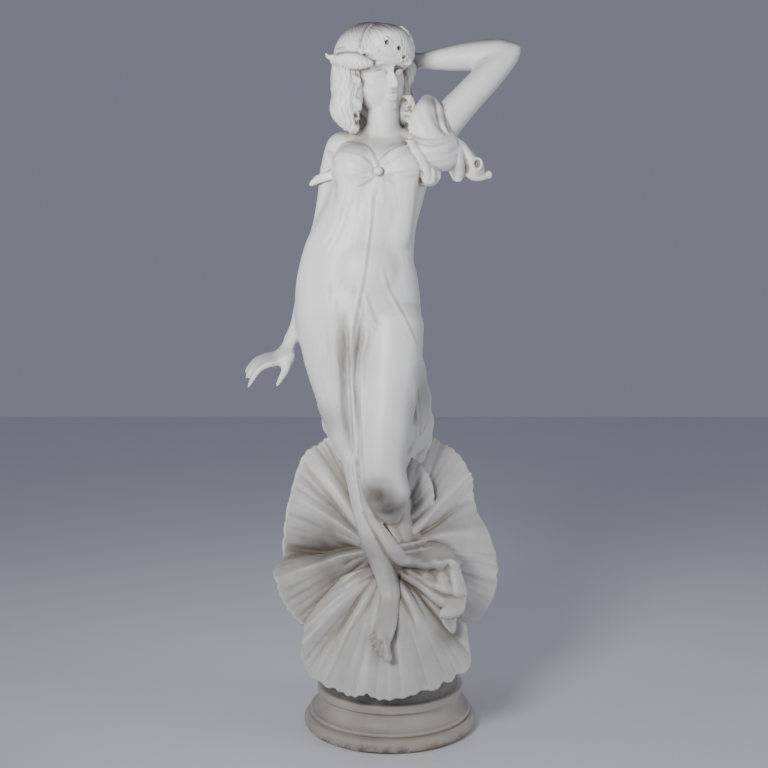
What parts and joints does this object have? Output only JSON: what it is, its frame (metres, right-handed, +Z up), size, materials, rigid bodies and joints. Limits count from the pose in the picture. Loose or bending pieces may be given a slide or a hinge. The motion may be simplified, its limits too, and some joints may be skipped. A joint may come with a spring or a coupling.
{
  "type": "marble statue on a turned plinth",
  "caption": "Carved marble woman in a clinging dress rising from a large open flower, on a round turned marble plinth.",
  "frame": {"origin": "middle of the plinth's flat underside", "axes": "+Z up, -Y the way the figure faces, +X towards the raised arm"},
  "size_m": [0.5883, 0.3853, 1.4945],
  "materials": {
    "white_marble": "white statuary marble, satin rubbed, warm dirt in the hollows, the drum left rough and grey",
    "plinth_marble": "white marble, turned and rubbed smooth, brown stains at the foot"
  },
  "bodies": {
    "root": {"figure_on_flower": "white_marble", "plinth": "plinth_marble"}
  },
  "joints": []
}
